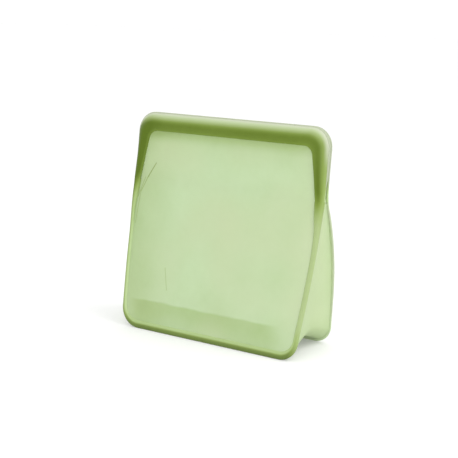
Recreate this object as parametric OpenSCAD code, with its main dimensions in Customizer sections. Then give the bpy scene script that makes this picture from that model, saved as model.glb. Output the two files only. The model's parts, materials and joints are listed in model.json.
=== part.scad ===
// Stand-up food storage bag moulded in silicone. Two walls stand as a wedge on a
// folded web, and above the line where the closure ends they press together as a
// pinch seal that wraps over the top corners. Front is -Y, up is +Z, and the
// origin is on the floor under the middle of the bag. Millimetres.

/* [Walls] */
// Width of each wall at its bottom edge
base_w = 189; // [175:1:200]
// Height of the line where the closure ends at both sides
hinge_z = 135; // [120:1:150]
// Lean of the front wall from the vertical, in degrees
front_lean = 12.9; // [9:0.1:16]
// Lean of the back wall from the vertical, in degrees
back_lean = 11.2; // [8:0.1:14]
// Radius of the bottom corners
base_r = 17; // [12:1:26]
// Thickness of the wall skins
skin = 1.6; // [1.2:0.1:2]
// Width of the bead down the sides of each wall
rim_w = 3; // [2.4:0.1:5]
// Width of the bead along the bottom of each wall
rim_base = 7.5; // [6:0.5:10]

/* [Gusset] */
// Thickness of the folded web
web = 1.4; // [1:0.1:1.8]
// How far the web is folded up, at the middle of the base
crease = 13; // [6:1:18]
// How far the web is folded in, at the foot of each side
side_crease = 4; // [2:1:10]

/* [Closure] */
// Width across the closure
mouth_w = 203; // [190:1:215]
// Height of the closure above its lower ends, along its own slope
mouth_h = 63.5; // [55:0.5:75]
// Lean of the closed closure from the vertical, in degrees
seal_lean = 7; // [0:0.5:10]
// Radius of the top corners
mouth_r = 18; // [14:1:22]
// Thickness of each half of the closure
track_t = 7.5; // [6:0.1:8]
// Depth of the groove
groove_d = 2.7; // [2.4:0.1:4]
// Width of the groove
groove_w = 3; // [2.6:0.1:4]
// Width of the outer lip along the top
lip_w = 6; // [4:0.5:7]

/* [Hidden] */
hinge_y = 2.1;         // the closure's lower ends stand a little behind the middle
half_w = mouth_w / 2;
wall_l = hinge_z / cos(max(front_lean, back_lean)) + 2.5; // to below the floor, where it is cut
rim_in = 1.5;         // inner face of the edge bead, out from the hinge line's plane
rim_out = 5.2;        // outer face of the edge bead
panel_in = 2.6;       // inner face of the lower skins
collar_in = 3.8;      // inner face of the upper skins, set back from the closure's face
rim_gap = 5.5;        // edge beads and tracks stop this far from the hinge line
skin_gap = 3.5;       // skins stop this far from the hinge line
seam = 0.15;          // each half of the closure stands this far off the seal plane
lip_t = 3;            // outer face of the thin lip
lip_side = 4.5;       // width of the lip at the top corners
lip_foot = 1.2;       // width of the lip at its lower ends
track_top = 17;       // inner edge of the track, below the top
track_side = 14.4;    // inner edge of the track at the top corners
track_foot = 7.2;     // inner edge of the track at its lower ends
track_r = 9;          // inner corner radius of the track
groove_top = 9;       // groove's outer wall, below the top
groove_side = 8.3;    // groove's outer wall at the top corners
groove_foot = 2.2;    // groove's outer wall, carried on down to the hinge line
groove_v = 18;        // lower ends of the groove, above the hinge line
play = 0.4;           // clearance of the bead in the groove
bead_h = 2.2;         // how far the bead stands into the front track
boss_r = 4.8;         // moulded knuckle where front and back join
boss_l = 9;
boss_room = 0.4;      // clearance round the knuckle
web_off = 1.2;        // the web's edges, out from the hinge line's plane
web_inset = 3.3;      // the web's outer face, in from the wall's outline
steps = 8;            // segments in each rounded corner
corner = steps / 2;
far = 400;

skin_green = "#C8DBAD";
web_green = "#BCD39B";
seal_green = "#738D37";
lip_green = "#AEC088";

function arc(c, r, from, to) =
    [for (i = [0:steps]) let (a = from + (to - from) * i / steps) c + r * [cos(a), sin(a)]];

function reversed(p) = [for (i = [len(p) - 1:-1:0]) p[i]];

// A wall's outline moved in by side and base: down the right, along the base, up the left.
function wall_path(side, base, top_v) =
    let (r = base_r - min(side, base))
    let (cx = base_w / 2 - side - r, cy = base + r - wall_l)
    concat(
        [[half_w - side, top_v]],
        arc([cx, cy], r, 0, -90),
        arc([-cx, cy], r, -90, -180),
        [[side - half_w, top_v]]
    );

// The closure's outline moved in by foot, side and top: up the right side and over. Each
// side runs straight from the hinge line to where it touches the corner's circle, and is
// drawn from height v0 upwards.
function mouth_path(foot, side, top, r, v0) =
    let (c = [half_w - side - r, mouth_h - top - r], d = [half_w - foot, 0] - c)
    let (first = atan2(d.y, d.x) + acos(r / norm(d)), touch = c + r * [cos(first), sin(first)])
    let (x0 = half_w - foot + (touch.x - half_w + foot) * v0 / touch.y)
    concat(
        [[x0, v0]],
        arc(c, r, first, 90),
        arc([-c.x, c.y], r, 90, 180 - first),
        [[-x0, v0]]
    );

// Local frames on the hinge line: X across, Y up the wall, Z out of it.
module at_hinge(turn) translate([0, hinge_y, hinge_z]) rotate([90 + turn, 0, 0]) children();
module front_wall_frame() at_hinge(-front_lean) children();
module back_wall_frame() at_hinge(back_lean) mirror([0, 0, 1]) children();
module front_mouth_frame() at_hinge(-seal_lean) children();
module back_mouth_frame() at_hinge(-seal_lean) mirror([0, 0, 1]) children();

module slab(points, low, high)
    translate([0, 0, low]) linear_extrude(high - low) polygon(points);

module above_floor() {
    difference() {
        children();
        translate([-far / 2, -far / 2, -far]) cube(far);
    }
}

// Leaves room for the knuckles at both ends of the hinge line.
module clear_of_knuckles() {
    difference() {
        children();
        rotate([0, 90, 0]) cylinder(r = boss_r + boss_room, h = far, center = true, $fn = 48);
    }
}

module panel_plate()
    clear_of_knuckles() slab(wall_path(rim_w, rim_base, -skin_gap), panel_in, panel_in + skin);

module rim_band()
    slab(
        concat(wall_path(0, 0, -rim_gap), reversed(wall_path(rim_w, rim_base, -rim_gap))),
        rim_in, rim_out
    );

function track_edge() = mouth_path(track_foot, track_side, track_top, track_r, rim_gap);
function lip_edge() = mouth_path(lip_foot, lip_side, lip_w, mouth_r - lip_side, rim_gap);

module lip_band()
    slab(
        concat(mouth_path(0, 0, 0, mouth_r, rim_gap), reversed(lip_edge())),
        seam, lip_t
    );

module track_band() slab(concat(lip_edge(), reversed(track_edge())), seam, track_t);

// The strip that the groove and the bead follow, narrowed by gap on both sides.
module seal_strip(gap, low, high) {
    outer = gap;
    inner = groove_w - gap;
    slab(
        concat(
            mouth_path(groove_foot + outer, groove_side + outer, groove_top + outer,
                mouth_r - groove_side - outer, groove_v + gap),
            reversed(
                mouth_path(groove_foot + inner, groove_side + inner, groove_top + inner,
                    mouth_r - groove_side - inner, groove_v + gap)
            )
        ),
        low, high
    );
}

module collar_plate()
    clear_of_knuckles() slab(
        concat([[half_w - track_foot, skin_gap]], track_edge(), [[track_foot - half_w, skin_gap]]),
        collar_in, collar_in + skin
    );

// The front or back edge of the web: a point of the wall's plane, in world axes.
function in_wall(p, lean, out) =
    [p.x, hinge_y + p.y * sin(lean) - out * cos(lean), hinge_z + p.y * cos(lean) + out * sin(lean)];
function front_edge(p) = in_wall(p, front_lean, web_off);
function back_edge(p) = let (q = in_wall(p, back_lean, web_off)) [q.x, 2 * hinge_y - q.y, q.z];

// The web's point number k, at share t from front to back, on its outer or inner face.
function fold(k, t) = (1 - abs(2 * t - 1)) * min(1, -wall_path(0, 0, -rim_gap)[k].y / wall_l);
function web_point(k, t, deep) =
    let (in = web_inset + deep, f = fold(k, t))
    let (p = wall_path(in + side_crease * f, in + crease * f, -rim_gap)[k])
    front_edge(p) * (1 - t) + back_edge(p) * t;

// The part of the web from point first to point last of the outline.
module web_part(first, last) {
    n = last - first + 1;
    shares = [0, 0.5, 1];
    points = [
        for (deep = [0, web]) for (t = shares) for (k = [first:last]) web_point(k, t, deep)
    ];
    outer = [for (r = [0, 1]) for (k = [0:n - 2]) quad(r * n + k, r * n + k + 1, n)];
    inner = [for (q = outer) [for (i = [3:-1:0]) q[i] + 3 * n]];
    front = [for (k = [0:n - 2]) [k + 1, k, k + 3 * n, k + 1 + 3 * n]];
    back = [for (k = [0:n - 2]) [k + 2 * n, k + 1 + 2 * n, k + 1 + 5 * n, k + 5 * n]];
    start = [for (r = [0, 1]) [r * n, (r + 1) * n, (r + 4) * n, (r + 3) * n]];
    end = [for (q = start) [for (i = [3:-1:0]) q[i] + n - 1]];
    polyhedron(points, concat(outer, inner, front, back, start, end), convexity = 4);
}
function quad(a, b, n) = [a, b, b + n, a + n];

module right_gusset() color(web_green) web_part(0, corner + 1);
module base_gusset() color(web_green) web_part(corner + 1, corner + steps + 2);
module left_gusset() color(web_green) web_part(corner + steps + 2, 2 * steps + 3);

module seal_end(side)
    color(seal_green)
        translate([side * (half_w - boss_l / 2), hinge_y, hinge_z])
            rotate([0, 90, 0]) cylinder(r = boss_r, h = boss_l, center = true, $fn = 48);
module left_seal_end() seal_end(-1);
module right_seal_end() seal_end(1);

module front_panel() color(skin_green) above_floor() front_wall_frame() panel_plate();
module back_panel() color(skin_green) above_floor() back_wall_frame() panel_plate();
module front_rim() color(seal_green) above_floor() front_wall_frame() rim_band();
module back_rim() color(seal_green) above_floor() back_wall_frame() rim_band();

module front_collar() color(skin_green) front_mouth_frame() collar_plate();
module back_collar() color(skin_green) back_mouth_frame() collar_plate();
module front_lip() color(lip_green) front_mouth_frame() lip_band();
module back_lip() color(lip_green) back_mouth_frame() lip_band();

module front_groove_track()
    color(seal_green) front_mouth_frame() difference() {
        track_band();
        seal_strip(0, -seam, seam + groove_d);
    }
module back_bead_track() color(seal_green) back_mouth_frame() track_band();
module seal_bead() color(seal_green) back_mouth_frame() seal_strip(play, -bead_h, seam);

left_gusset();
base_gusset();
right_gusset();
left_seal_end();
right_seal_end();
front_panel();
front_rim();
back_panel();
back_rim();
front_collar();
front_groove_track();
front_lip();
back_collar();
back_bead_track();
back_lip();
seal_bead();
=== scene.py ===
import json
import math

import bmesh
import bpy
import numpy as np
from mathutils import Matrix, Vector

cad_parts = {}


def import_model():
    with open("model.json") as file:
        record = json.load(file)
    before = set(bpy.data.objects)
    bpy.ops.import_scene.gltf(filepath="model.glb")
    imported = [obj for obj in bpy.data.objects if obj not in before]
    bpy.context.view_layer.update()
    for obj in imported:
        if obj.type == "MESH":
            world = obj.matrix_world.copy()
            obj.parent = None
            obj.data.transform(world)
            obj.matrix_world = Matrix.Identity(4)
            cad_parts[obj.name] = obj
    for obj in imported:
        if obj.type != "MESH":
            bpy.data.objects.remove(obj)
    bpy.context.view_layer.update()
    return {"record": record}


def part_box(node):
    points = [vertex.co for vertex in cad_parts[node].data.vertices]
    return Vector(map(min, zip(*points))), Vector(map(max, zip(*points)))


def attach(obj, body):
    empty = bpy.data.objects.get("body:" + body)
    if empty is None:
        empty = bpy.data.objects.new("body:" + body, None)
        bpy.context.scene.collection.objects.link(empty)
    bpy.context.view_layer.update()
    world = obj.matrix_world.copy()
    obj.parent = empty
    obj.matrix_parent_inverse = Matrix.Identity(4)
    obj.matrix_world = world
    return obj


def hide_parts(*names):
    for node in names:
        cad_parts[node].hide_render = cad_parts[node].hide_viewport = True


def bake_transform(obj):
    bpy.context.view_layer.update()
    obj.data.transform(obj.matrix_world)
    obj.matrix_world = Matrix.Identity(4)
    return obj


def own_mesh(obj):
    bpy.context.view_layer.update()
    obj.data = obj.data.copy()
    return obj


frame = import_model()

# ---------------------------------------------------------------- dimensions, mm
MM = 0.001
JOINTS = {j["name"]: j for j in frame["record"]["behaviour"]["joints"]}
HINGE = np.array(JOINTS["front_open"]["pos_m"]) / MM
LEANS = {"front": JOINTS["front_fold"]["range_deg"][1], "back": -JOINTS["back_fold"]["range_deg"][1]}
SEAL_LEAN = 7.0  # the closed closure leans back
HINGE_BEND = 16.0  # from this far below the hinge line to as far above it, the lean changes
HALF_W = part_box("front_lip")[1][0] / MM
MOUTH_H = 63.5
MOUTH_R = 18.0  # the mouth's corner at its edge, and how much tighter it is inside the ridge
MOUTH_R_LOSS = 9.0

BASE_W = 94.5  # half width at the foot
WALL_L = {"front": 139.2, "back": 138.2}  # from the hinge line to the floor
WALL_TAPER = 120.0  # the walls narrow over this length, and their sides bulge a little
SIDE_BULGE = 1.2
BOW = {"front": -0.8, "back": 8.0}  # how far a wall bends out of its plane
BASE_R = 16.5
LEFT_R = 20.0  # the front wall's left corner is rounder and stands out further
LEFT_OUT = 1.8

SKIN = 1.6
SKIN_LEVEL = 4.0  # the skin's outer face by the bead, and its rise towards the hinge line
SKIN_RISE = {"front": 1.2, "back": 1.0}
SKIN_BULGE = 3.6  # how far the skins bulge at the hinge line, and how little by the seal
SEAL_BULGE = 1.0
BULGE_L = 136.0  # below the hinge line the bulge ends here, just above the floor
RIM_SIDE = 3.8  # width of the edge bead at the sides and along the base
RIM_BASE = 6.0
BEAD_CREST = 4.8  # height of the edge bead, and its rise towards the hinge line
CREST_RISE = {"front": 2.4, "back": 0.3}
RIDGE_FOOT = 7.2  # width of the seal ridge at its ends, its sides and its top
RIDGE_SIDE = 14.4
RIDGE_TOP = 16.8
RIDGE_LEAN = 0.19  # how fast the ridge widens up its sides
FACE_GAP = 0.15  # from the middle of the closure to the face of either half
SEALED = 1.5  # the same at the hinge line, where the halves part round the seams

WEB_LEVEL = 2.9  # how far out of the wall's plane through the hinge line the web joins it
WEB_SIDE_IN = 1.2  # how far in from the wall's edge it lies at the sides and at the base
WEB_BASE_IN = 1.6
WEB_TOP = -2.0  # just below the hinge line
FOLD_IN = 3.4  # how far the side gussets fold inwards and the base folds up
FOLD_UP = 10.5
FOLD_MIDDLE = 5.5  # how much higher the base is folded away from its corners
WEB_T = 1.3
SEAM_R = 3.3  # the solid seams: radius at the middle, then its shares across and up
SEAM_ACROSS = 0.8
SEAM_UP = 1.5
SEAM_INSET = 0.9  # from the lip's edge to the seam's outer end

LEG_STEPS = {"wall": 36, "mouth": 24, "web": 30}
CORNER_STEPS = 12
RUN_POINTS = 21

# ---------------------------------------------------------------- surfaces


def smooth(a, b, x):
    """An eased step, from 0 where x is a to 1 where x is b."""
    t = np.clip((np.asarray(x, float) - a) / (b - a), 0, 1)
    return t * t * (3 - 2 * t)


def place(side, u, v, w):
    """World points, in mm, of points on one side of the bag."""
    u, v, w = np.broadcast_arrays(*(np.asarray(a, float) for a in (u, v, w)))
    out = w if side == "front" else -w

    def on(lean):
        a = math.radians(lean)
        y = HINGE[1] + v * math.sin(a) - out * math.cos(a)
        z = HINGE[2] + v * math.cos(a) + out * math.sin(a)
        return np.stack([u, y, z], -1)

    share = smooth(-HINGE_BEND, HINGE_BEND, v)[..., None]
    return on(LEANS[side]) * (1 - share) + on(SEAL_LEAN) * share


def bow(side, v):
    """How far a whole wall, its edge bead included, bends out of its plane."""
    v = np.asarray(v, float)
    soft = 8.0  # it starts this softly at the hinge line
    down = np.clip((np.hypot(v, soft) - v) / 2 / WALL_L[side], 0, 1) ** 0.9
    return BOW[side] * np.sin(math.pi * down)


def wall_edge(v):
    """Half width of a wall at its outer edge, which is slightly bowed."""
    down = np.clip(-np.asarray(v, float) / WALL_TAPER, 0, 1)
    return HALF_W - (HALF_W - BASE_W) * down + SIDE_BULGE * np.sin(math.pi * down)


def bead_width(v):
    """The seal ridge runs on a little way into the edge bead before it has thinned out."""
    return RIM_SIDE + (RIDGE_FOOT - RIM_SIDE) * smooth(-34, 4, v)


def bead_crest(side, v):
    return BEAD_CREST + CREST_RISE[side] * smooth(-55, -8, v)


def panel_w(side, u, v):
    """Outer face of a skin: its level by the bead plus the soft bulge between the edges."""
    level = SKIN_LEVEL + SKIN_RISE[side] * smooth(-60, 10, v)
    inner = np.where(v > 0, HALF_W - RIDGE_FOOT - RIDGE_LEAN * v, wall_edge(v) - bead_width(v))
    gaps = [inner - np.abs(u), MOUTH_H - RIDGE_TOP - v, v + WALL_L[side] - RIM_BASE]
    soft = 5.0  # the nearest edge takes over from the next nearest within about this much
    near = -soft * np.log(sum(np.exp(-gap / soft) for gap in gaps))
    collar = SEAL_BULGE + (SKIN_BULGE - SEAL_BULGE) * smooth(46, 5, v)
    wall = SKIN_BULGE * (1 - np.clip(-v / BULGE_L, 0, 1) ** 1.7)
    full = np.where(v > 0, collar, wall)
    return level + full * (1 - np.exp(-np.clip(near - 0.4, 0, None) / 11)) + bow(side, v)


# ---------------------------------------------------------------- lines round the bag


def half_ring(leg, centre, r, first, up, lift=0.0):
    """Half of a line round a wall: its leg, a round corner, and a run to the middle.

    The corner turns from its first angle to straight up or down, and the run can rise
    softly by the lift as it leaves the corner."""
    cu, cv = centre
    a = np.linspace(first, up * math.pi / 2, CORNER_STEPS, endpoint=False)
    corner = np.stack([cu + r * np.cos(a), cv + r * np.sin(a)], -1)
    u = np.linspace(cu, 0, RUN_POINTS)
    run = np.stack([u, cv + up * r + lift * smooth(0, 45, cu - u)], -1)
    return np.concatenate([leg, corner, run])


def whole_ring(right, left):
    """The line from the top or foot of the right leg to that of the mirrored left leg."""
    return np.concatenate([right, (left * [-1, 1])[-2::-1]])


def wall_ring(side, k):
    """A U-shaped line round the lower wall, k bead widths in from the edge."""
    side_in, base_in = RIM_SIDE * k, RIM_BASE * k
    halves = []
    for corner_r in (BASE_R, LEFT_R if side == "front" else BASE_R):
        r = max(corner_r - side_in, 3)
        centre = BASE_W - side_in - r, base_in + r - WALL_L[side]
        v = centre[1] * np.linspace(0, 1, LEG_STEPS["wall"], endpoint=False) ** 1.3
        leg = np.stack([wall_edge(v) - k * bead_width(v), v], -1)
        halves.append(half_ring(leg, centre, r, 0, -1))
    ring = whole_ring(*halves)
    if side == "front":
        ring[:, 0] -= LEFT_OUT * smooth(0, -120, ring[:, 1]) * smooth(0, -80, ring[:, 0])
    return ring


def mouth_ring(p):
    """An n-shaped line round the mouth, at share p of the way in across the seal ridge."""
    foot = HALF_W - RIDGE_FOOT * p
    r = MOUTH_R - MOUTH_R_LOSS * min(p, 1.2)
    cu, cv = HALF_W - RIDGE_SIDE * p - r, MOUTH_H - RIDGE_TOP * p - r
    first = math.atan2(-cv, foot - cu) + math.acos(min(1, r / math.hypot(foot - cu, cv)))
    t = np.linspace(0, 1, LEG_STEPS["mouth"], endpoint=False)
    end_u, end_v = cu + r * math.cos(first), cv + r * math.sin(first)
    leg = np.stack([foot + (end_u - foot) * t, end_v * t], -1)
    half = half_ring(leg, (cu, cv), r, first, 1)
    return whole_ring(half, half)


def web_ring(side, deep, fold):
    """A U-shaped line on the web by a wall, drawn in by a share of its folds."""
    side_in, base_in = WEB_SIDE_IN + deep + FOLD_IN * fold, WEB_BASE_IN + deep + FOLD_UP * fold
    r = max(BASE_R - side_in, 4)
    centre = BASE_W - side_in - r, base_in + r - WALL_L[side]
    s = np.linspace(0, 1, LEG_STEPS["web"], endpoint=False)
    top = HALF_W - WEB_SIDE_IN - deep
    leg = np.stack([top + (centre[0] + r - top) * s, WEB_TOP + (centre[1] - WEB_TOP) * s], -1)
    half = half_ring(leg, centre, r, 0, -1, lift=FOLD_MIDDLE * fold)
    return whole_ring(half, half)


# ---------------------------------------------------------------- mesh building


def make_mesh(name, rows, depth, edge, flat, fold=0.0, tube=False, hem=False, sharp=35):
    """A mesh from rows of points in mm, with what the material reads stored on its points.

    A tube's last row joins its first, and its two ends are closed."""
    n = len(rows[0])
    count = len(rows)
    points = np.concatenate(rows) * MM
    faces = []
    for i in range(count if tube else count - 1):
        a, b = i * n, ((i + 1) % count) * n
        faces += [(a + j, a + j + 1, b + j + 1, b + j) for j in range(n - 1)]
    if tube:
        faces.append(tuple(i * n for i in range(count))[::-1])
        faces.append(tuple(i * n + n - 1 for i in range(count)))
    if hem:  # the inner face's rows come first, the outer face's last and in reverse
        for column in (0, n - 1):
            for i in range(count // 2 - 1):
                pair = [i, i + 1, count - 2 - i, count - 1 - i]
                faces.append(tuple(k * n + column for k in pair))
    mesh = bpy.data.meshes.new(name)
    mesh.from_pydata(points.tolist(), [], faces)
    for label, values in (("depth", depth), ("edge", edge), ("fold", fold)):
        values = np.broadcast_to(values, count) if np.isscalar(values) else values
        values = np.concatenate([np.broadcast_to(x, n) for x in values]).astype(np.float32)
        mesh.attributes.new(label, "FLOAT", "POINT").data.foreach_set("value", values)
    where = np.concatenate([np.asarray(f, float) for f in flat]).astype(np.float32) * MM
    mesh.attributes.new("flat", "FLOAT_VECTOR", "POINT").data.foreach_set("vector", where.ravel())
    bm = bmesh.new()
    bm.from_mesh(mesh)
    bmesh.ops.remove_doubles(bm, verts=bm.verts, dist=2e-6)
    bmesh.ops.recalc_face_normals(bm, faces=bm.faces)
    bm.to_mesh(mesh)
    bm.free()
    mesh.polygons.foreach_set("use_smooth", [True] * len(mesh.polygons))
    mesh.set_sharp_from_angle(angle=math.radians(sharp))
    obj = bpy.data.objects.new(name, mesh)
    bpy.context.scene.collection.objects.link(obj)
    return obj


FLAT_SHIFT = {"front": 0, "back": 400, "web": 0}  # the flat pattern has the back beside the front


def flat_of(side, ring, w):
    """Where a point lies on the flat pattern that the materials read."""
    return np.column_stack([ring, np.broadcast_to(w, len(ring))]) + [FLAT_SHIFT[side], 0, 0]


# How deep the green looks across the closure and down into the bead: share of the way in
# from the edge, then the depth along the top, down the left and down the right. Thick
# silicone is deeper green. Over that, the top is paler with painted light from above, the
# left is darker with painted shade, and the right lies in between.
SHADE_P = [0.05, 0.15, 0.28, 0.4, 0.52, 0.65, 0.9, 1.05]
DEPTH_TOP_LIT = [0.16, 0.28, 0.46, 0.66, 0.84, 0.92, 0.88, 0.7]
DEPTH_LEFT_SHADED = [0.8, 0.95, 1.05, 1.1, 1.1, 1.06, 0.98, 0.8]
DEPTH_RIGHT_HALF_LIT = [0.55, 0.64, 0.76, 0.88, 0.95, 0.95, 0.88, 0.72]


def shade(side, u, v, p):
    """Depth of the green at share p of the way in across the ridge or the bead: deeper where it is thick,
    paler on top with painted light, and darker down the left and along the front's foot with painted shade.
    """
    left = smooth(0, -1, u)
    ridge_sides = smooth(66, 92, np.abs(u)) * smooth(64, 46, v)
    top, left_shaded, at_right = (np.interp(p, SHADE_P, row) for row in (DEPTH_TOP_LIT, DEPTH_LEFT_SHADED, DEPTH_RIGHT_HALF_LIT))
    upper = top * (1 - ridge_sides) + (left_shaded * left + at_right * (1 - left)) * ridge_sides
    if side == "front":
        # Along the front's foot the bead is thick silicone, with painted shade over it.
        foot = smooth(-104, -132, v) * smooth(97, 86, np.abs(u))
        foot_shaded = 0.97 - 0.62 * smooth(0.5, 0.9, p)
        # The front's bead is darker down its left side: painted shade.
        bead_sides = (0.75 - 0.52 * smooth(0.3, 0.75, p)) * left + 0.42 * (1 - left)
        bead_sides = bead_sides + (0.05 + 0.11 * left) * smooth(-60, -5, v)
        lower = bead_sides * (1 - foot) + foot_shaded * foot
    else:
        upper = upper * (1 - 0.6 * smooth(32, 6, v))
        lower = 0.1 + 0.2 * smooth(-50, -5, v)
    above = smooth(-19, 10, v)
    return upper * above + lower * (1 - above)


def bead_thin_edge_highlight(side, u, v, k):
    """How grey the bead's thin edge looks, with a painted highlight on it: less on the front's right, and
    less towards the floor.
    """
    right = smooth(-1, 0, u) if side == "front" else 0.0
    top = {"front": -5, "back": 10}[side]
    grey = 0.7 * smooth(top, top - 25, v) * smooth(0.5, 0.08, k) * (1 - right)
    grey = grey + 0.2 * smooth(0, -25, v) * right
    return np.maximum(grey * smooth(-130, -105, v), 0.08 * smooth(-104, -132, v))


def skin_depth_and_shade(uv, inner):
    """How deep the skin's green looks: a little more on its inner face, and more under the seal and towards
    the left, which is painted shade.
    """
    u, v = uv[:, 0], uv[:, 1]
    shade_under_seal = smooth(15, 46, v) * 0.06 + smooth(34, 48, v) * 0.2
    left_shaded = smooth(40, 97, -u) * 0.13
    return 0.05 + shade_under_seal + left_shaded + (0.06 if inner else 0)


def fold_shade_zone(side, uv):
    """Strength of the painted shade that the folded base casts on the skin from behind, below the line it
    is folded to.
    """
    u, foot = uv[:, 0], uv[:, 1] + WALL_L[side]
    ends = smooth(-92, -72, u) * smooth(92, 66, u + 0.5 * foot)
    return 0.17 * (1 - 0.4 * smooth(25, 8, foot)) * ends


# Cross-section of the edge bead: share of its width from the edge, share of its height.
BEAD_P = [0.0, 0.04, 0.1, 0.2, 0.35, 0.6, 0.85, 1.0, 1.1, 1.2]
BEAD_H = [0.3, 0.55, 0.72, 0.86, 0.95, 1.0, 1.0, 0.97, 0.88, 0.72]
BEAD_INNER = [(1.2, 0.3), (1.1, 0.08), (1.0, 0.0), (0.5, 0.0), (0.12, 0.0), (0.03, 0.1)]


def wall_bead(side):
    """The bead round the edge of a lower wall."""
    rows, depth, edge, flat = [], [], [], []
    for k, h in BEAD_INNER + list(zip(BEAD_P, BEAD_H)):
        ring = wall_ring(side, k)
        u, v = ring[:, 0], ring[:, 1]
        inner = SEALED + 0.7 * smooth(-5, -60, v)
        level = inner + h * (bead_crest(side, v) - inner) + bow(side, v)
        rows.append(place(side, u, v, level))
        depth.append(shade(side, u, v, k))
        edge.append(bead_thin_edge_highlight(side, u, v, k))
        flat.append(flat_of(side, ring, level))
    return make_mesh(f"{side}_edge_bead", rows, depth, edge, flat, tube=True)


# The skins are closed by rings that shrink to the middle of the hinge line by these shares.
SHARES = 1 - np.linspace(0, 1, 27)
WALL_SKIN_K = (0.7, 1.1, 1.35, 1.7, 2.1, 2.6)
COLLAR_SKIN_P = (0.9, 1.04, 1.1, 1.18, 1.3)


def skin(name, side, rings, folded):
    """A skin with an inner and an outer face, from rings that start under its bead or ridge."""
    lines = [(rings[-1] * s, True) for s in SHARES[:0:-1]]
    lines += [(ring, True) for ring in rings[::-1]]
    lines += [(ring, False) for ring in rings]
    lines += [(rings[-1] * s, False) for s in SHARES[1:]]
    rows, depth, flat = [], [], []
    for uv, inner in lines:
        w = panel_w(side, uv[:, 0], uv[:, 1]) - (SKIN if inner else 0)
        rows.append(place(side, uv[:, 0], uv[:, 1], w))
        depth.append(skin_depth_and_shade(uv, inner))
        flat.append(flat_of(side, uv, w))
    # Only the lower skins get the painted shade of the folded base.
    fold = [fold_shade_zone(side, uv) for uv, inner in lines] if folded else 0.0
    return make_mesh(name, rows, depth, 0.0, flat, fold, hem=True, sharp=50)


def wall_skin(side):
    """The lower skin, from inside its bead to the hinge line."""
    return skin(f"{side}_wall_skin", side, [wall_ring(side, k) for k in WALL_SKIN_K], True)


def collar_skin(side):
    """The upper skin, from inside the seal ridge to the hinge line."""
    return skin(f"{side}_collar_skin", side, [mouth_ring(p) for p in COLLAR_SKIN_P], False)


# Cross-sections of the closure where it is full: share of the way in, and height. The
# ridge's outer face comes first, then its inner face with two edges and the front's groove,
# the lip, and the bead.
RIDGE_OUTER = [(0.05, 2.2), (0.08, 3.2), (0.12, 4.1), (0.18, 5.1), (0.25, 6.0), (0.33, 6.7)]
RIDGE_OUTER += [(0.41, 7.2), (0.49, 7.4), (0.58, 7.4), (0.68, 7.3), (0.78, 7.1), (0.88, 6.8)]
RIDGE_OUTER += [(0.95, 6.5), (0.99, 6.1), (1.02, 5.4), (1.05, 4.6)]
RIDGE_LOW_EDGE = [(1.05, 3.4), (1.0, 1.4), (0.95, 0.4), (0.9, FACE_GAP)]
GROOVE = [(0.72, FACE_GAP), (0.715, 0.9), (0.715, 2.5), (0.71, 2.8)]
GROOVE += [(0.55, 2.8), (0.545, 2.5), (0.545, 0.9), (0.54, FACE_GAP)]
RIDGE_HIGH_EDGE = [(0.2, FACE_GAP), (0.08, FACE_GAP), (0.05, 0.4)]
LIP = [(0.4, 0.6), (0.02, 0.25), (0.0, 0.5), (-0.005, 1.2)]
LIP += [(0.0, 2.0), (0.02, 2.5), (0.08, 2.7), (0.4, 2.7)]
STRIP_FOOT = 0.6  # the bead starts inside the back half and reaches into the front's groove
STRIP_REACH = -2.2
STRIP_CORNERS = [(0.69, STRIP_FOOT), (0.68, STRIP_REACH), (0.58, STRIP_REACH), (0.57, STRIP_FOOT)]
STRIP_ROUND = [0.1, 1.2, 1.2, 0.1]
STRIP_SKIP = 9  # points at either end of the mouth's line, by the hinge line, without a bead


def ridge_level(side, v, p, w, face):
    """Height of the ridge, which runs down into the edge bead at its two ends."""
    full = smooth(0, 26, v)
    if face == "outer":
        low = SEALED + np.interp(p, BEAD_P, BEAD_H) * (bead_crest(side, 0) - SEALED)
        level = w * full + low * (1 - full)
    else:
        closed = SEALED + (FACE_GAP - SEALED) * smooth(0, 22, v)
        cut = smooth(12, 19, v) if face == "groove" else 1.0
        level = closed + np.maximum(w - FACE_GAP, 0) * cut
    return level + bow(side, v) * (1 - full)


def ridge_top_light_and_edge_highlight(u, v, p):
    """How pale the ridge's outer face looks towards the lip: painted light along the top, and a painted
    highlight on the thin edge at the corners.
    """
    top = 0.6 * smooth(0.55, 0, p) * smooth(104, 78, np.abs(u))
    corners = smooth(0.3, 0.02, p) * smooth(24, 50, v)
    return np.maximum(top, corners)


def seal_ridge(side):
    """Half of the closure: a thick ridge with a groove, or a flat face for the bead."""
    outline = [(p, w, "outer") for p, w in RIDGE_OUTER]
    outline += [(p, w, "inner") for p, w in RIDGE_LOW_EDGE]
    if side == "front":
        outline += [(p, w, "groove") for p, w in GROOVE]
    outline += [(p, w, "inner") for p, w in RIDGE_HIGH_EDGE]
    rows, depth, edge, flat = [], [], [], []
    for p, w, face in outline:
        ring = mouth_ring(p)
        u, v = ring[:, 0], ring[:, 1]
        full = smooth(0, 26, v)
        level = ridge_level(side, v, p, w, face)
        rows.append(place(side, u, v, level))
        depth.append(shade(side, u, v, p) if face == "outer" else 0.2 + 0.5 * full)
        edge.append(full * (ridge_top_light_and_edge_highlight(u, v, p) if face == "outer" else 0.1))
        flat.append(flat_of(side, ring, level))
    return make_mesh(f"{side}_seal_ridge", rows, depth, edge, flat, tube=True, sharp=50)


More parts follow.
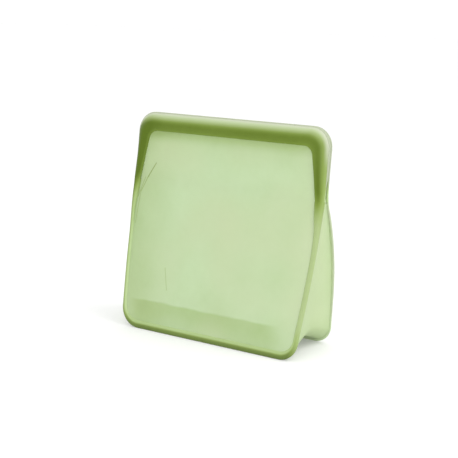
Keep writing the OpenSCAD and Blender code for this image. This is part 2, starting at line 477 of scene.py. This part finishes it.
def lip(side):
    """The thin outer edge that a finger catches to pull the bag open."""
    rows, depth, edge, flat = [], [], [], []
    for p, w in LIP:
        ring = mouth_ring(p)
        v = ring[:, 1]
        full = smooth(2, 24, v)
        low = 2.2 + (w - 0.25) * 0.8 + bow(side, v)
        u = ring[:, 0] - np.sign(ring[:, 0]) * 0.9 * (1 - full)
        rows.append(place(side, u, v, w * full + low * (1 - full)))
        depth.append(0.3 * full + 0.4 * (1 - full))
        # The lip looks pale and grey: thin silicone with a painted highlight along it.
        edge.append(0.8 * full)
        flat.append(flat_of(side, ring, w))
    return make_mesh(f"{side}_lip_edge", rows, depth, edge, flat, tube=True, sharp=50)


def round_corners(corners, radius, steps=4):
    """A closed outline in (across, out) with its corners rounded."""
    result = []
    n = len(corners)
    for i in range(n):
        p = np.array(corners[i], float)
        a = np.array(corners[i - 1], float) - p
        b = np.array(corners[(i + 1) % n], float) - p
        ra = min(radius[i], 0.45 * np.hypot(*a))
        rb = min(radius[i], 0.45 * np.hypot(*b))
        start, end = p + a / np.hypot(*a) * ra, p + b / np.hypot(*b) * rb
        for t in np.linspace(0, 1, steps + 1):
            result.append((1 - t) ** 2 * start + 2 * t * (1 - t) * p + t * t * end)
    return np.array(result)


def bead_strip():
    """The bead on the back half, which presses into the groove."""
    rows, flat = [], []
    for p, w in round_corners(STRIP_CORNERS, STRIP_ROUND):
        ring = mouth_ring(p)[STRIP_SKIP:-STRIP_SKIP]
        u, v = ring[:, 0], ring[:, 1]
        level = STRIP_FOOT + (w - STRIP_FOOT) * smooth(16, 21, v)
        rows.append(place("back", u, v, level))
        flat.append(flat_of("back", ring, w))
    return make_mesh("seal_bead_strip", rows, 0.8, 0.0, flat, tube=True)


def web_rows(deep, shares):
    """Rows of the folded web from front to back, on its outer face or its inner one."""
    rows, flat = [], []
    for t in shares:
        fold = (1 - abs(2 * t - 1) ** 1.6) ** 1.1
        ends = []
        for side in ("front", "back"):
            ring = web_ring(side, deep, fold)
            ends.append(place(side, ring[:, 0], ring[:, 1], WEB_LEVEL + bow(side, ring[:, 1])))
        rows.append(ends[0] * (1 - t) + ends[1] * t)
        flat.append(flat_of("web", ring, t * 60))
    return rows, flat


def folded_web():
    """The web that joins the walls: side gussets and base in one strip, folded up below."""
    shares = np.concatenate([np.linspace(0, 0.46, 11), [0.49, 0.5, 0.51], np.linspace(0.54, 1, 11)])
    outer, outer_flat = web_rows(0.0, shares)
    inner, inner_flat = web_rows(WEB_T, shares[::-1])
    rows, flat = outer + inner, outer_flat + inner_flat
    depth = 0.13 + 0.04 * smooth(30, 5, outer[0][:, 2])
    return make_mesh("folded_web", rows, [depth] * len(rows), 0.0, flat, tube=True, sharp=60)


def seal_end(name, direction):
    """The solid seam where the front and back walls meet, rounded at both ends."""
    low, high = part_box(name)
    length = (high[0] - low[0]) / MM
    a = np.linspace(0, 2 * math.pi, 33)
    rows = []
    for t in np.linspace(0, 1, 13):
        x = direction * (HALF_W - length + t * (length - SEAM_INSET))
        r = SEAM_R * math.sqrt(max(1 - (2 * t - 1) ** 6, 0))
        y, z = HINGE[1] + SEAM_ACROSS * r * np.cos(a), HINGE[2] + SEAM_UP * r * np.sin(a)
        rows.append(np.stack([np.full(len(a), x), y, z], -1))
    # The seams take a little of the painted edge highlight's grey.
    return make_mesh(name.replace("_end", "_seam"), rows, 0.25, 0.2, rows)


# ---------------------------------------------------------------- materials


def rgb(*screen):
    """A linear colour from screen values of 0 to 255."""
    shares = [c / 255 for c in screen]
    return tuple(x / 12.92 if x <= 0.04 else ((x + 0.055) / 1.055) ** 2.4 for x in shares) + (1.0,)


# The green from thin silicone to thick, the tones laid over it, the grey of thin edges with a painted
# highlight on them, and the tint of its sheen.
PALE, DARK = rgb(205, 224, 184), rgb(86, 109, 8)
BETWEEN = ((0.25, rgb(178, 201, 140)), (0.5, rgb(150, 173, 98)), (0.75, rgb(122, 145, 56)))
WARM_PATCH = rgb(210, 220, 182)
THIN_EDGE_HIGHLIGHT_GREY = rgb(196, 201, 180)
SHEEN = rgb(235, 245, 220)

# In metres, as the materials read them. The painted shade of the folded base starts at FOLD_TOP.
FOLD_TOP = -0.1118  # the base is folded up to this line below the hinge line
FOLD_BLUR = 0.0014  # how soft that line is, and how far it wavers
FOLD_WAVE = 0.0028
CREASE_WIDTH = 0.0007

# Fine creases in the front skin, dented by the bump and darkened as painted shade: two points (u, v) in mm
# and how strongly each shows.
CREASES = [
    ((-75, 16.5), (-84, 2), 0.7),
    ((-84, 2), (-91, -12), 0.4),
    ((-91, -12), (-94, -42), 0.2),
    ((-87, 2), (-94, -17), 0.3),
    ((-52, -79), (-47.5, -99), 0.25),
]


class Nodes:
    """One material's node tree, with short ways to add to it."""

    def __init__(self, name):
        self.material = bpy.data.materials.new(name)
        self.material.use_nodes = True
        self.tree = self.material.node_tree
        self.tree.nodes.clear()
        self.flat = self.attribute("flat", "Vector")

    def add(self, kind, **inputs):
        made = self.tree.nodes.new(kind)
        for key, value in inputs.items():
            made.inputs[key.replace("_", " ")].default_value = value
        return made

    def link(self, source, target):
        self.tree.links.new(source, target)

    def feed(self, made, values):
        """Gives a node's first inputs, in order, a number, a vector or another node's output."""
        for i, value in enumerate(values):
            if isinstance(value, (int, float, tuple)):
                made.inputs[i].default_value = value
            else:
                self.link(value, made.inputs[i])

    def attribute(self, label, kind="Fac"):
        made = self.add("ShaderNodeAttribute")
        made.attribute_name = label
        return made.outputs[kind]

    def math(self, op, a, b):
        made = self.add("ShaderNodeMath")
        made.operation = op
        self.feed(made, (a, b))
        return made.outputs[0]

    def vector(self, op, a, b, out="Vector"):
        made = self.add("ShaderNodeVectorMath")
        made.operation = op
        self.feed(made, (a, b))
        return made.outputs[out]

    def noise(self, scale, detail, rough=0.5):
        made = self.add("ShaderNodeTexNoise", Scale=scale, Detail=detail, Roughness=rough)
        self.link(self.flat, made.inputs["Vector"])
        return made.outputs["Fac"]

    def swing(self, noise, amount):
        """A noise that goes about as far below zero as above it."""
        return self.math("MULTIPLY", self.math("SUBTRACT", noise, 0.5), amount)

    def mix_colour(self, share, below, colour):
        """A colour laid over another by a share. The node's colour sockets have no own names."""
        made = self.add("ShaderNodeMix")
        made.data_type = "RGBA"
        first, second, result = made.inputs[6], made.inputs[7], made.outputs[2]
        self.link(share, made.inputs[0])
        self.link(below, first)
        second.default_value = colour
        return result

    def ramp(self, level):
        """The green for a depth."""
        made = self.add("ShaderNodeValToRGB")
        stops = made.color_ramp.elements
        stops[0].position, stops[0].color = 0.0, PALE
        stops[1].position, stops[1].color = 1.0, DARK
        for position, colour in BETWEEN:
            stops.new(position).color = colour
        self.link(level, made.inputs["Fac"])
        return made.outputs["Color"]

    def fold_shade_mask(self):
        """Mask of the painted shade of the folded base: one below the line that the base is folded up to,
        which wavers a little.
        """
        split = self.add("ShaderNodeSeparateXYZ")
        self.link(self.flat, split.inputs[0])
        made = self.add("ShaderNodeMapRange", From_Min=FOLD_TOP + FOLD_BLUR, From_Max=FOLD_TOP - FOLD_BLUR)
        made.interpolation_type = "SMOOTHSTEP"
        height = self.math("ADD", split.outputs[1], self.swing(self.noise(60.0, 1.0), FOLD_WAVE))
        self.link(height, made.inputs["Value"])
        return made.outputs[0]

    def crease(self, start, end):
        """One at a line on the flat pattern, falling to nothing at its width."""
        a, b = Vector((*start, 0)) * MM, Vector((*end, 0)) * MM
        along = b - a
        from_a = self.vector("SUBTRACT", self.vector("MULTIPLY", self.flat, (1.0, 1.0, 0.0)), tuple(a))
        t = self.vector("DOT_PRODUCT", from_a, tuple(along), "Value")
        t = self.math("DIVIDE", t, along.length_squared)
        t = self.math("MAXIMUM", self.math("MINIMUM", t, 1.0), 0.0)
        nearest = self.add("ShaderNodeCombineXYZ")
        for i in range(2):
            self.link(self.math("MULTIPLY", t, along[i]), nearest.inputs[i])
        gap = self.vector("DISTANCE", from_a, nearest.outputs[0], "Value")
        return self.math("MAXIMUM", self.math("SUBTRACT", 1.0, self.math("DIVIDE", gap, CREASE_WIDTH)), 0.0)


def silicone(name, roughness, see_through, creases=()):
    """Matte translucent silicone whose green deepens with the thickness stored on the mesh, with painted
    light and shade stored alongside it, painted shade of the folded base and the creases, and a painted
    highlight on thin edges.
    """
    net = Nodes(name)
    depth = net.attribute("depth")
    cloud = net.noise(17.0, 2.0)
    grain = net.noise(140.0, 3.0, 0.6)
    powder = net.noise(1500.0, 2.0, 0.6)

    level = net.math("ADD", depth, net.math("ADD", net.swing(cloud, 0.16), net.swing(grain, 0.05)))
    # Painted shade of the folded base, laid on below its line.
    level = net.math("ADD", level, net.math("MULTIPLY", net.attribute("fold"), net.fold_shade_mask()))
    height = net.math("ADD", net.math("MULTIPLY", grain, 0.6), net.math("MULTIPLY", powder, 0.12))
    # Creases are darker as painted shade, and dented by the bump.
    if creases:
        folds = 0.0
        for start, end, strength in creases:
            folds = net.math("MAXIMUM", folds, net.math("MULTIPLY", net.crease(start, end), strength))
        level = net.math("ADD", level, folds)
        height = net.math("SUBTRACT", height, net.math("MULTIPLY", folds, 3.0))

    thin = net.math("SUBTRACT", 1.0, net.math("MINIMUM", net.math("MULTIPLY", depth, 3.0), 1.0))
    blotch = net.math("SUBTRACT", net.noise(13.0, 1.0), 0.38)
    blotch = net.math("MAXIMUM", net.math("MULTIPLY", blotch, 2.2), 0.0)
    colour = net.mix_colour(net.math("MULTIPLY", blotch, thin), net.ramp(level), WARM_PATCH)
    # Thin edges turn grey: pale thin silicone with a painted highlight.
    colour = net.mix_colour(net.attribute("edge"), colour, THIN_EDGE_HIGHLIGHT_GREY)

    bump = net.add("ShaderNodeBump", Strength=0.16, Distance=0.0006)
    net.link(height, bump.inputs["Height"])
    body = net.add("ShaderNodeBsdfPrincipled", IOR=1.41, Specular_IOR_Level=0.35)
    body.inputs["Sheen Weight"].default_value = 0.03
    body.inputs["Sheen Roughness"].default_value = 0.5
    body.inputs["Sheen Tint"].default_value = SHEEN
    net.link(colour, body.inputs["Base Color"])
    rough = net.math("ADD", net.math("MULTIPLY", grain, 0.14), roughness - 0.07)
    net.link(rough, body.inputs["Roughness"])
    glow = net.add("ShaderNodeBsdfTranslucent")
    net.link(colour, glow.inputs["Color"])
    for shader in (body, glow):
        net.link(bump.outputs["Normal"], shader.inputs["Normal"])
    mixed = net.add("ShaderNodeMixShader", Fac=see_through)
    net.link(body.outputs[0], mixed.inputs[1])
    net.link(glow.outputs[0], mixed.inputs[2])
    net.link(mixed.outputs[0], net.add("ShaderNodeOutputMaterial").inputs["Surface"])
    return net.material


MATERIALS = {
    "wall": silicone("silicone_wall", 0.5, 0.34, CREASES),
    "web": silicone("silicone_web", 0.52, 0.28),
    "seal": silicone("silicone_seal", 0.45, 0.2),
    "lip": silicone("silicone_lip", 0.45, 0.35),
}


# ---------------------------------------------------------------- the pieces


def finish_piece(obj, slot, *nodes):
    """Gives a piece its material and slot, and hides the CAD nodes it stands for."""
    obj.data.materials.append(MATERIALS[slot])
    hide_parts(*nodes)
    return obj


def world(side, v):
    """A point in metres by the middle of a wall, at a height on it."""
    return tuple(place(side, 0, v, 3) * MM)


TRACKS = {"front": "front_groove_track", "back": "back_bead_track"}
for side in ("front", "back"):
    lower = [
        finish_piece(wall_skin(side), "wall", f"{side}_panel"),
        finish_piece(wall_bead(side), "seal", f"{side}_rim"),
    ]
    upper = [
        finish_piece(collar_skin(side), "wall", f"{side}_collar"),
        finish_piece(seal_ridge(side), "seal", TRACKS[side]),
        finish_piece(lip(side), "lip", f"{side}_lip"),
    ]
    if side == "back":
        upper.append(finish_piece(bead_strip(), "seal", "seal_bead"))
    for obj in lower:
        world(side, -34)
        world(side, 0)
        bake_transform(obj)
    for obj in upper:
        world(side, 22)
        world(side, 0)
        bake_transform(obj)

web = finish_piece(folded_web(), "web", "left_gusset", "base_gusset", "right_gusset")
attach(web, "seam")
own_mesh(web)
for name, direction in (("left_seal_end", -1), ("right_seal_end", 1)):
    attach(finish_piece(seal_end(name, direction), "seal", name), "seam")

# ---------------------------------------------------------------- floor, light, camera

FLOOR_HALF = 6.0  # metres
FLOOR_TONE = 0.67  # with the glow and the world's light, this comes out just under white
FLOOR_GLOW = 0.19
WORLD_LIGHT = 1.2
VIEW_DEG = (33.4, 12.5, 0.7)  # the camera's azimuth, pitch and roll
VIEW_MM = (3.6, 99.1, 991.1)  # where it aims, across and up, and how far away it stands
LENS = 86.266


def floor():
    """A wide white floor under the bag."""
    s = FLOOR_HALF
    mesh = bpy.data.meshes.new("floor")
    mesh.from_pydata([(-s, -s, 0), (s, -s, 0), (s, s, 0), (-s, s, 0)], [], [(0, 1, 2, 3)])
    obj = bpy.data.objects.new("floor", mesh)
    bpy.context.scene.collection.objects.link(obj)
    mat = bpy.data.materials.new("floor_white")
    mat.use_nodes = True
    shader = mat.node_tree.nodes["Principled BSDF"]
    shader.inputs["Base Color"].default_value = (FLOOR_TONE, FLOOR_TONE, FLOOR_TONE, 1)
    shader.inputs["Roughness"].default_value = 0.9
    shader.inputs["Specular IOR Level"].default_value = 0.1
    shader.inputs["Emission Color"].default_value = (1, 1, 1, 1)
    shader.inputs["Emission Strength"].default_value = FLOOR_GLOW
    mesh.materials.append(mat)


def area_light(name, where, aim, size, power):
    """A round soft light, in metres and watts."""
    data = bpy.data.lights.new(name, "AREA")
    data.shape = "DISK"
    data.size = size
    data.energy = power
    obj = bpy.data.objects.new(name, data)
    bpy.context.scene.collection.objects.link(obj)
    obj.location = where
    obj.rotation_euler = (Vector(aim) - Vector(where)).to_track_quat("-Z", "Y").to_euler()


def surroundings():
    """Even white light from all round."""
    made = bpy.data.worlds.new("studio")
    made.use_nodes = True
    background = made.node_tree.nodes["Background"]
    background.inputs["Color"].default_value = (1, 1, 1, 1)
    background.inputs["Strength"].default_value = WORLD_LIGHT
    bpy.context.scene.world = made


def camera():
    """The camera, tilted a little about its own axis."""
    azimuth, pitch, roll = (math.radians(a) for a in VIEW_DEG)
    across, height, distance = VIEW_MM
    level_back = Vector((math.sin(azimuth), -math.cos(azimuth), 0))
    back = level_back * math.cos(pitch) + Vector((0, 0, math.sin(pitch)))
    right = Vector((math.cos(azimuth), math.sin(azimuth), 0))
    up = back.cross(right)
    x = right * math.cos(roll) + up * math.sin(roll)
    y = -right * math.sin(roll) + up * math.cos(roll)
    data = bpy.data.cameras.new("camera")
    data.sensor_width = 36
    data.lens = LENS
    obj = bpy.data.objects.new("camera", data)
    bpy.context.scene.collection.objects.link(obj)
    turn = Matrix((x, y, back)).transposed().to_4x4()
    where = (right * across + Vector((0, 0, height)) + back * distance) * MM
    obj.matrix_world = Matrix.Translation(where) @ turn
    bpy.context.scene.camera = obj


floor()
area_light("key", (0.8, 0.15, 1.1), (0, 0, 0.08), 0.8, 5)
area_light("fill", (0.4, -1.2, 0.5), (0, 0, 0.1), 1.2, 4)
area_light("side", (1.3, 0.0, 0.2), (0, 0, 0.06), 1.0, 2)
surroundings()
bpy.context.scene.view_settings.view_transform = "Standard"
camera()
